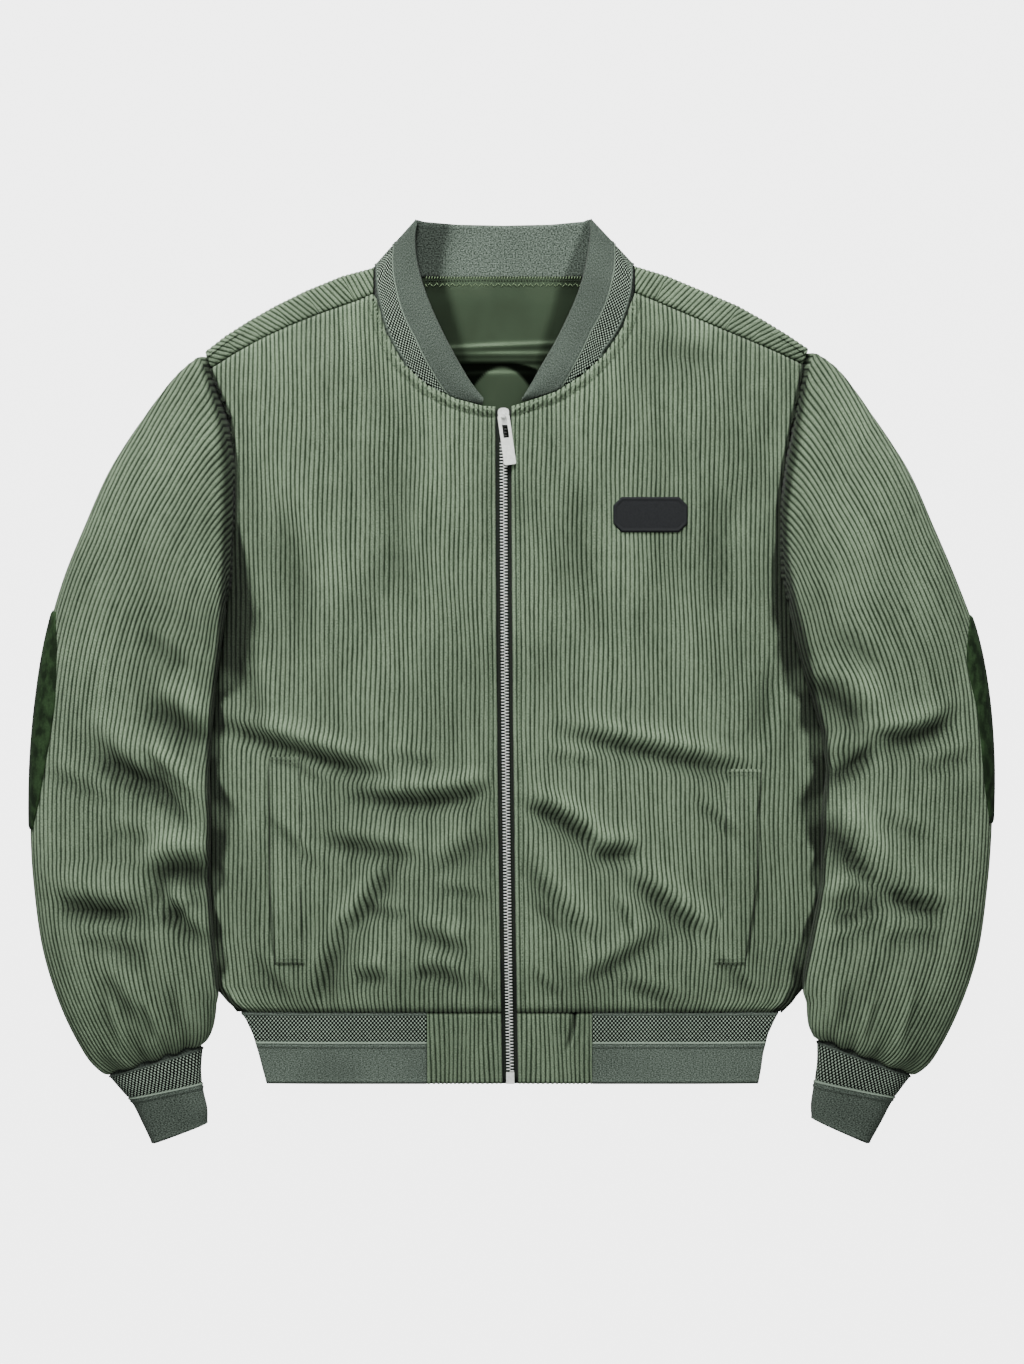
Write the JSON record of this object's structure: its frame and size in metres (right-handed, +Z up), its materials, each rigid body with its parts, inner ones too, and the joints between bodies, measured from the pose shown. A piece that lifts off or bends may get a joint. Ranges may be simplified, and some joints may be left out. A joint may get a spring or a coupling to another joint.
{
  "type": "corduroy jacket",
  "caption": "Zip-front bomber jacket in sage green wide-wale corduroy with rib knit collar, cuffs and hem, laid flat on its back.",
  "frame": {"origin": "on the surface that the jacket lies on, below the middle of its outline", "axes": "+X towards the wearer's left side, +Y towards the collar, +Z up off the surface"},
  "size_m": [0.7925, 0.7612, 0.0378],
  "materials": {
    "corduroy": "sage green wide-wale cotton corduroy, matte pile",
    "knit": "grey green rib knit with a honeycomb border",
    "satin": "dark green satin, soft sheen",
    "suede": "dark green suede-like patch, matte",
    "tape": "dark green woven zip tape",
    "metal": "polished silver metal",
    "badge": "dark coated cloth, bare, with a darker rim"
  },
  "bodies": {
    "jacket": {"back_panel": "corduroy", "badge": "badge", "collar_back": "knit", "collar_left": "knit", "collar_right": "knit", "cuff_left": "knit", "cuff_right": "knit", "elbow_patch_left": "suede", "elbow_patch_right": "suede", "front_left": "corduroy", "front_right": "corduroy", "hem_back": "knit", "hem_left": "knit", "hem_right": "knit", "hem_tab_left": "corduroy", "hem_tab_right": "corduroy", "lining": "satin", "pocket_welt_left": "corduroy", "pocket_welt_right": "corduroy", "shoulder_left": "corduroy", "shoulder_right": "corduroy", "sleeve_left": "corduroy", "sleeve_right": "corduroy", "zip_chain": "metal", "zip_slider": "metal", "zip_stop": "metal", "zip_tape_left": "tape", "zip_tape_right": "tape"},
    "zip_pull": {"zip_pull": "metal"}
  },
  "joints": [
    {"name": "zip_pull_hinge", "type": "hinge", "parent": "jacket", "child": "zip_pull", "pos_m": [-0.0066, 0.218, 0.01697], "axis": [-0.9902, -0.1395, 0], "range_deg": [0, 150]}
  ]
}
